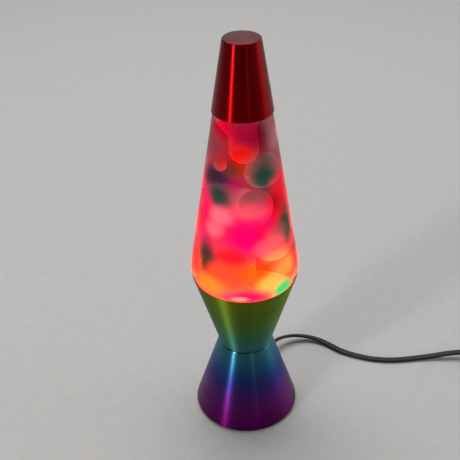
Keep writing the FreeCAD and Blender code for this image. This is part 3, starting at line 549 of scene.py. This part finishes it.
# Globe: bottle outside, then its inside wall
GLOBE_SEGS, WAX_SEGS, POOL_SEGS = 160, 72, 96
GLOBE_ARC = 10          # steps in each rounded corner
outer = [(0, FOOT_Z + KICK, 0), (12.0, FOOT_Z + 4.2, 20), (FOOT_RING_R, FOOT_Z, 2.5),
         (lower_r(FOOT_Z), FOOT_Z, 7.0), (upper_r(BELLY_Z), BELLY_Z, BELLY_ROUND),
         (upper_r(SHOULDER_Z), SHOULDER_Z, 5.0), (NECK_R, NECK_Z, 4.0), (NECK_R, 342.6, 0),
         (BEAD_R, 343.4, 0), (BEAD_R, 346.6, 1.2), (12.9, LIP_Z, 1.0), (MOUTH_R, LIP_Z, 0)]


def cavity(gap, top):
    """Line inside the bottle, a gap off its inner wall, up to a height on the upper taper."""
    g = GLASS + gap
    gu, gl = g * math.sqrt(1 + GLOBE_SLOPE ** 2), g * LEAN
    return [(0, FOOT_Z + KICK + g, 0), (11.6, FOOT_Z + 4.3 + g, 20), (21.8, FOOT_Z + g, 4.0),
            (lower_r(FOOT_Z + g) - gl, FOOT_Z + g, 5.0),
            (upper_r(BELLY_Z) - (gu + gl) / 2, BELLY_Z, BELLY_ROUND - g),
            (upper_r(top) - gu, top, 6.0 if gap == 0 else 0)]


out_line = split_long(rounded(outer, GLOBE_ARC), 4.0)
in_line = cavity(0.0, SHOULDER_Z - 1.0) + [(MOUTH_R, 333.5, 0), (MOUTH_R, LIP_Z, 0)]
in_line = split_long(rounded(in_line, GLOBE_ARC), 4.0)
globe = lathe("globe_bottle", out_line + in_line[::-1], GLOBE_SEGS, False, 40)
dress(globe, GLASS_OUT, GLASS_IN)
outer_faces = GLOBE_SEGS * (len(out_line) - 1)
for poly in globe.data.polygons:
    poly.material_index = 0 if poly.index < outer_faces else 1
place(globe, "globe", "clear_glass", "globe_glass")

liquid_line = rounded(cavity(0.3, LIQUID_Z) + [(0, LIQUID_Z, 0)], GLOBE_ARC)
liquid = lathe("globe_liquid", split_long(liquid_line, 6.0), POOL_SEGS, False, 40)
dress(liquid, LIQUID)
place(liquid, "globe", "clear_liquid", "liquid")


# Wax drops: a ball below, a ball above and the cone that touches both
EGG_STEPS = 24
META_THRESHOLD = 0.6
META_REACH = 0.575      # a lone soft ball's own radius against its reach


def shift(obj, x, y):
    for v in obj.data.vertices:
        v.co.x += x * MM
        v.co.y += y * MM


def egg(name, cx, cy, z0, z1, r0, r1):
    low, high = z0 + r0, z1 - r1
    lean = math.asin((r0 - r1) / (high - low))
    line = []
    for k in range(EGG_STEPS + 1):
        a = -math.pi / 2 + (lean + math.pi / 2) * k / EGG_STEPS
        line.append((max(r0 * math.cos(a), 0.0), low + r0 * math.sin(a)))
    for k in range(EGG_STEPS + 1):
        a = lean + (math.pi / 2 - lean) * k / EGG_STEPS
        line.append((max(r1 * math.cos(a), 0.0), high + r1 * math.sin(a)))
    line[0], line[-1] = (0.0, z0), (0.0, z1)
    obj = lathe(name, line, WAX_SEGS, False, 80)
    shift(obj, cx, cy)
    dress(obj, WAX)
    return obj


def melted(name, balls, detail=0.0012):
    """Wax grown together from soft balls (x, y, z, radius) in millimetres."""
    data = bpy.data.metaballs.new("seed_" + name)
    data.resolution = detail
    data.render_resolution = detail
    data.threshold = META_THRESHOLD
    for x, y, z, r in balls:
        e = data.elements.new()
        e.co = (x * MM, y * MM, z * MM)
        e.radius = r * MM / META_REACH
    seed = bpy.data.objects.new("seed_" + name, data)
    scene.collection.objects.link(seed)
    deps = bpy.context.evaluated_depsgraph_get()
    mesh = bpy.data.meshes.new_from_object(seed.evaluated_get(deps), depsgraph=deps)
    bpy.data.objects.remove(seed)
    bpy.data.metaballs.remove(data)
    mesh.name = name
    obj = bpy.data.objects.new(name, mesh)
    scene.collection.objects.link(obj)
    soften(obj, 80)
    dress(obj, WAX)
    return obj


top_mass = melted("wax_hanging", [(0.5, 0.5, 274.5, 10.5), (0, 0.5, 287, 10), (-7.5, -1, 303, 11.5),
                                  (0, 0, 304, 11.5), (-3, 0, 311, 11.5)])
place(top_mass, "globe", "white_wax", "wax_top_mass")

# Drifting drops: x, y, lowest and highest point, radius below and above
DROPS = {"small": (-17, -9, 261.8, 272.2, 5.1, 5.0), "right": (12.5, 9.5, 237, 268, 12.3, 10.2),
         "centre": (9, -14.5, 215, 245, 12.6, 13.3), "low": (19.8, 4, 168, 206, 16.3, 13.6)}
for key, shape in DROPS.items():
    place(egg("wax_" + key, *shape), key + "_blob", "white_wax", "wax_" + key + "_blob")

# Wax in the bottom: a pool, a rising column and three drops that stand in it
column_line = [(0, 122, 0), (14, 122, 9), (13, 195, 60), (16.4, 231, 7), (11, 237.5, 8), (0, 238.5, 0)]
column = lathe("wax_rising", split_long(rounded(column_line, 10), 4.0), WAX_SEGS, False, 80)
shift(column, -14.0, 5.0)
dome = egg("wax_dome", -12, -15, 146, 189, 14.8, 13.8)
middle = egg("wax_middle", -3.5, 21.0, 124, 229, 11.4, 11.6)
left = egg("wax_left", -24.5, -4, 126, 216, 11.0, 10.9)
POOL_GAP, POOL_SIDE_Z, POOL_TOP_Z = 0.35, 136.0, 138.5
pool_line = cavity(POOL_GAP, 140.0)[:4]
pool_line += [(lower_r(POOL_SIDE_Z) - (GLASS + POOL_GAP) * LEAN, POOL_SIDE_Z, 2.5), (18, POOL_TOP_Z, 20),
              (0, POOL_TOP_Z, 0)]
pool = lathe("wax_bottom", split_long(rounded(pool_line, 8), 3.0), POOL_SEGS, False, 60)
for obj in (pool, column, dome, middle, left):
    dress(obj, WAX_LOW)
    place(obj, "globe", "white_wax", "wax_pool")

# The cord: a flat twin flex on one smooth line for each side of the switch
CORD_HALF_WIDE, CORD_HALF_HIGH = 3.1, 1.55
GROOVE, GROOVE_WIDE = 0.22, 0.22    # between the two cores
SECTION_STEPS = 24
section = bpy.data.curves.new("twin_section", "CURVE")
section.dimensions = "2D"
outline = []
for k in range(SECTION_STEPS):
    a = 2 * math.pi * k / SECTION_STEPS
    c, s = math.cos(a), math.sin(a)
    waist = 1.0 - GROOVE * math.exp(-(c / GROOVE_WIDE) ** 2)
    outline.append((CORD_HALF_WIDE * MM * math.copysign(abs(c) ** 0.75, c),
                    CORD_HALF_HIGH * MM * waist * math.copysign(abs(s) ** 0.7, s)))
spline = section.splines.new("POLY")
spline.points.add(len(outline) - 1)
for pt, (x, y) in zip(spline.points, outline):
    pt.co = (x, y, 0, 1)
spline.use_cyclic_u = True
section_obj = bpy.data.objects.new("twin_section", section)


def flex(name, points):
    """Cord on control points (x, y, z, tilt in degrees), in millimetres."""
    data = bpy.data.curves.new(name, "CURVE")
    data.dimensions = "3D"
    data.twist_mode = "Z_UP"
    data.bevel_mode = "OBJECT"
    data.bevel_object = section_obj
    data.use_fill_caps = True
    data.resolution_u = 10
    s = data.splines.new("NURBS")
    s.points.add(len(points) - 1)
    for pt, (x, y, z, tilt) in zip(s.points, points):
        pt.co = (x * MM, y * MM, z * MM, 1)
        pt.tilt = math.radians(tilt)
    s.order_u = 3
    s.use_endpoint_u = True
    obj = bpy.data.objects.new(name, data)
    scene.collection.objects.link(obj)
    data.materials.append(VINYL)
    return obj


run_points = [(23.59, 52.99, 12.0, -34), (28.5, 64.0, 12.0, -34), (36.8, 72.6, 9.9, -34),
              (48.2, 78.4, 7.6, -32), (60.7, 80.4, 5.3, -24), (73.2, 78.3, 3.7, -16), (84.9, 72.2, 2.5, -8),
              (103.0, 56.5, 1.7, 0), (141.0, 43.6, 1.7, 0), (188.0, 49.4, 2.0, 0), (213.0, 50.7, 7.0, 0),
              (232.0, 50.7, 7.0, 0)]
cord_run = flex("cord_to_switch", run_points)
place(cord_run, "base", "cord_vinyl", "cord_run")

# Put-away length: in on the lower layer, out on the upper one, then the plug
COIL_X, COIL_Y, COIL_PITCH, COIL_TURNS, COIL_R_OUT = 330.0, 5.7, 6.75, 6.53, 45.0
COIL_LOW_Z, COIL_RISE = 3.0, 5.0
TURN_STEPS = 14
MID = COIL_TURNS / 2
CROSSING = 0.5          # turns over which the cord climbs to the upper layer
coil_points = [(288.0, 50.7, 7.0, 0), (298.0, 50.7, 7.0, 0), (312.0, 51.1, 4.4, 0)]
for k in range(int(COIL_TURNS * TURN_STEPS) + 1):
    u = k / TURN_STEPS
    angle = math.radians(90 - 360 * u)
    r = COIL_R_OUT - COIL_PITCH * MID + COIL_PITCH * math.sqrt((u - MID) ** 2 + 0.01)
    r /= math.cos(math.pi / (2 * TURN_STEPS)) ** 0.5
    climb = min(max((u - MID + CROSSING / 2) / CROSSING, 0), 1)
    z = COIL_LOW_Z + COIL_RISE * climb * climb * (3 - 2 * climb)
    coil_points.append((COIL_X + r * math.cos(angle), COIL_Y + r * math.sin(angle), z, 0))
end = math.radians(90 - 360 * COIL_TURNS)
away = Vector((math.sin(end), -math.cos(end)))
last = Vector((COIL_X + COIL_R_OUT * math.cos(end), COIL_Y + COIL_R_OUT * math.sin(end)))
for d, z in ((8, 8.0), (20, 8.2), (34, 8.2), (46.2, 8.2)):
    q = last + away * d
    coil_points.append((q.x, q.y, z, 0))
cord_coil = flex("cord_coiled", coil_points)
place(cord_coil, "base", "cord_vinyl", "cord_link", "cord_coil", "cord_tail")

# CAD nodes that stay, with their materials
KEPT = {"waist_rivets": STEEL, "socket_bracket": STEEL, "socket_body": PHENOLIC, "socket_ring": PHENOLIC,
        "socket_shell": BRASS, "socket_contact": BRASS, "terminal_screws": BRASS, "inner_leads": LEAD_VINYL,
        "bottom_cover": BLACK_PLASTIC, "rubber_feet": RUBBER, "cord_gland": VINYL, "coil_tie": BLACK_PLASTIC,
        "switch_lower_shell": BLACK_GLOSS, "switch_upper_shell": BLACK_GLOSS, "switch_screw": STEEL,
        "switch_wheel": BLACK_PLASTIC, "plug_body": VINYL, "plug_blades": BRASS, "bulb_tip": BRASS,
        "bulb_insulator": PHENOLIC, "bulb_cap": BRASS, "bulb_glass": FROST, "bulb_stem": FROST,
        "bulb_leads": WIRE, "bulb_filament": WIRE, "heat_coil": WIRE, "crown_cap": TIN, "crown_liner": LINER}
for node, material in KEPT.items():
    dress(nodes[node], material)

# Floor: pale grey near the lamp, paler far away
FLOOR_DARK, FLOOR_LIGHT, FLOOR_FAR = (0.47, 0.466, 0.457), (0.50, 0.496, 0.487), (0.86, 0.855, 0.845)
FAR_FROM, FAR_TO = 1.4, 3.2
bpy.ops.mesh.primitive_plane_add(size=12.0, location=(0, 0, 0))
floor = bpy.context.object
floor.name = "floor"
ground = Tree("floor_pale")
where = ground.coords()
grit = ground.noise(where, 90.0, 4.0, 0.6)
tone = ground.mix(ground.remap(grit, 0.3, 0.7), FLOOR_DARK, FLOOR_LIGHT)
far = ground.remap(ground.vector("LENGTH", where), FAR_FROM, FAR_TO, 0.0, 1.0, True)
tone = ground.mix(far, tone, FLOOR_FAR)
dress(floor, ground.shader(Base_Color=tone, Roughness=0.9, Specular_IOR_Level=0.2))


# Light: four soft boxes and a world that is brighter behind
def softbox(name, spot, wide, high, radiance, colour=(1, 1, 1), aim=(0, 0, 0.15)):
    data = bpy.data.lights.new(name, "AREA")
    data.shape = "RECTANGLE"
    data.size, data.size_y = wide, high
    data.energy = radiance * math.pi * wide * high
    data.color = colour
    obj = bpy.data.objects.new(name, data)
    scene.collection.objects.link(obj)
    obj.location = spot
    obj.rotation_euler = (Vector(aim) - Vector(spot)).to_track_quat("-Z", "Y").to_euler()
    return obj


softbox("key_left", (-1.22, -1.18, 0.75), 0.14, 1.3, 24.0, (1.0, 0.98, 0.95))
softbox("fill_front", (0.72, -1.65, 0.75), 0.07, 1.0, 3.0)
softbox("wall_right", (1.8, 0.3, 0.7), 1.1, 1.2, 1.1)
softbox("overhead", (-0.2, 0.9, 2.1), 2.0, 1.6, 3.6)

world = bpy.data.worlds.new("studio")
scene.world = world
world.use_nodes = True
wt = world.node_tree
back = wt.nodes["Background"]
tex = wt.nodes.new("ShaderNodeTexCoord")
side = wt.nodes.new("ShaderNodeVectorMath")
side.operation = "DOT_PRODUCT"
side.inputs[1].default_value = (0.45, 0.89, 0.0)
wt.links.new(tex.outputs["Generated"], side.inputs[0])
level = wt.nodes.new("ShaderNodeMapRange")
level.interpolation_type = "SMOOTHSTEP"
for key, value in (("From Min", -0.55), ("From Max", 0.85), ("To Min", 0.08), ("To Max", 0.55)):
    level.inputs[key].default_value = value
wt.links.new(side.outputs["Value"], level.inputs["Value"])
wt.links.new(level.outputs["Result"], back.inputs["Color"])
back.inputs["Strength"].default_value = 1.0

# Camera, fitted to the photo
EYE = Vector((0.0, -0.5668, 0.5826))
FORWARD = Vector((-0.017623, 0.826945, -0.562006)).normalized()
RIGHT = Vector((0.999757, 0.007135, -0.020852)).normalized()
cam_data = bpy.data.cameras.new("photo_camera")
cam_data.sensor_width = 36.0
cam_data.lens = 63.03
cam = bpy.data.objects.new("photo_camera", cam_data)
scene.collection.objects.link(cam)
facing = Matrix((RIGHT, RIGHT.cross(FORWARD), -FORWARD)).transposed().to_4x4()
cam.matrix_world = Matrix.Translation(EYE) @ facing
scene.camera = cam
scene.view_settings.view_transform = "Standard"
